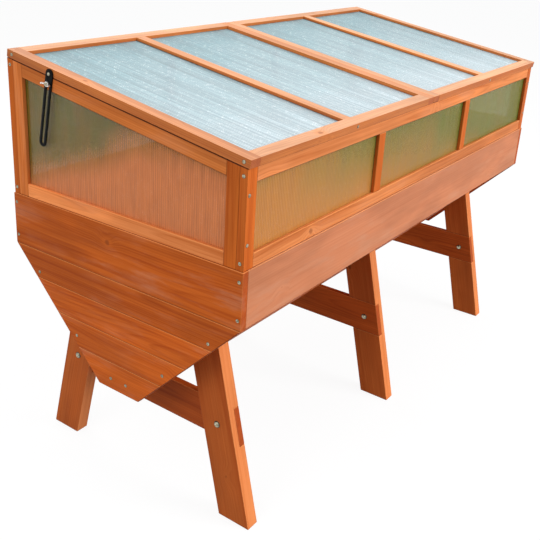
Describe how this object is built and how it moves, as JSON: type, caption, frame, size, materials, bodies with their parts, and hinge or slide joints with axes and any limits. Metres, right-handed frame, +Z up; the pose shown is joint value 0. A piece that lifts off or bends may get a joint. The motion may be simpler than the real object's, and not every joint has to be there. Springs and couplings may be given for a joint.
{
  "type": "raised bed with cold frame",
  "caption": "Timber trough planter on splayed trestle legs with a glazed cold frame on its rim, whose sloping lids hinge at the back and are held open by slotted stays.",
  "frame": {"origin": "on the ground, under the middle of the bed", "axes": "+X along the length, -Y the low front wall, +Z up"},
  "size_m": [1.8286, 0.7804, 1.1522],
  "materials": {
    "trough_timber": "orange-brown stained fir",
    "leg_timber": "orange-brown stained fir",
    "wall_timber": "orange-brown stained fir",
    "lid_timber": "light orange stained fir",
    "twin_wall_sheet": "clear fluted twin-wall polycarbonate",
    "zinc_steel": "bright zinc plate",
    "black_steel": "black powder coat"
  },
  "bodies": {
    "bed": {"back_lower_slope_board": "trough_timber", "back_rim_board": "trough_timber", "back_upper_slope_board": "trough_timber", "back_wall_bottom_rail": "wall_timber", "back_wall_mullions": "wall_timber", "back_wall_panes": "twin_wall_sheet", "back_wall_stiles": "wall_timber", "back_wall_top_rail": "wall_timber", "bottom_board": "trough_timber", "brace_bolts": "zinc_steel", "brace_nuts": "zinc_steel", "end_boards_1": "trough_timber", "end_boards_2": "trough_timber", "end_boards_3": "trough_timber", "end_boards_4": "trough_timber", "end_rim_boards": "trough_timber", "end_wall_back_stiles": "wall_timber", "end_wall_bottom_rails": "wall_timber", "end_wall_front_stiles": "wall_timber", "end_wall_panes": "twin_wall_sheet", "end_wall_top_rails": "wall_timber", "frame_screws": "zinc_steel", "front_lower_slope_board": "trough_timber", "front_rim_board": "trough_timber", "front_upper_slope_board": "trough_timber", "front_wall_bottom_rail": "wall_timber", "front_wall_mullions": "wall_timber", "front_wall_panes": "twin_wall_sheet", "front_wall_stiles": "wall_timber", "front_wall_top_rail": "wall_timber", "hinge_frame_leaves": "zinc_steel", "hinge_pins": "zinc_steel", "left_back_leg": "leg_timber", "left_brace": "leg_timber", "left_front_leg": "leg_timber", "middle_back_leg": "leg_timber", "middle_brace": "leg_timber", "middle_front_leg": "leg_timber", "right_back_leg": "leg_timber", "right_brace": "leg_timber", "right_front_leg": "leg_timber", "stay_studs": "zinc_steel"},
    "left_lid": {"left_lid_bar": "lid_timber", "left_lid_cross_rails": "lid_timber", "left_lid_hinge_leaves": "zinc_steel", "left_lid_panes": "twin_wall_sheet", "left_lid_screws": "zinc_steel", "left_lid_side_rails": "lid_timber", "left_stay_pivot": "zinc_steel"},
    "left_stay": {"left_stay": "black_steel"},
    "left_wing_nut": {"left_wing_nut": "zinc_steel"},
    "right_lid": {"right_lid_bar": "lid_timber", "right_lid_cross_rails": "lid_timber", "right_lid_hinge_leaves": "zinc_steel", "right_lid_panes": "twin_wall_sheet", "right_lid_screws": "zinc_steel", "right_lid_side_rails": "lid_timber", "right_stay_pivot": "zinc_steel"},
    "right_stay": {"right_stay": "black_steel"},
    "right_wing_nut": {"right_wing_nut": "zinc_steel"}
  },
  "joints": [
    {"name": "left_lid_hinge", "type": "hinge", "parent": "bed", "child": "left_lid", "pos_m": [0, 0.38655, 1.13244], "axis": [-1, 0, 0], "range_deg": [0, 56]},
    {"name": "left_stay_swing", "type": "hinge", "parent": "left_lid", "child": "left_stay", "pos_m": [-0.8975, 0.21987, 1.11139], "axis": [-1, 0, 0], "range_deg": [-28, 0]},
    {"name": "left_wing_nut_turn", "type": "hinge", "parent": "bed", "child": "left_wing_nut", "pos_m": [-0.8975, 0.22484, 1.08689], "axis": [-1, 0, 0], "continuous": true},
    {"name": "right_lid_hinge", "type": "hinge", "parent": "bed", "child": "right_lid", "pos_m": [0, 0.38655, 1.13244], "axis": [-1, 0, 0], "range_deg": [0, 56]},
    {"name": "right_stay_swing", "type": "hinge", "parent": "right_lid", "child": "right_stay", "pos_m": [0.8975, 0.21987, 1.11139], "axis": [-1, 0, 0], "range_deg": [-28, 0]},
    {"name": "right_wing_nut_turn", "type": "hinge", "parent": "bed", "child": "right_wing_nut", "pos_m": [0.8975, 0.22484, 1.08689], "axis": [1, 0, 0], "continuous": true}
  ],
  "couplings": [
    {"joint": "left_stay_swing", "follows": "left_lid_hinge", "ratio": -0.5},
    {"joint": "right_stay_swing", "follows": "right_lid_hinge", "ratio": -0.5}
  ]
}
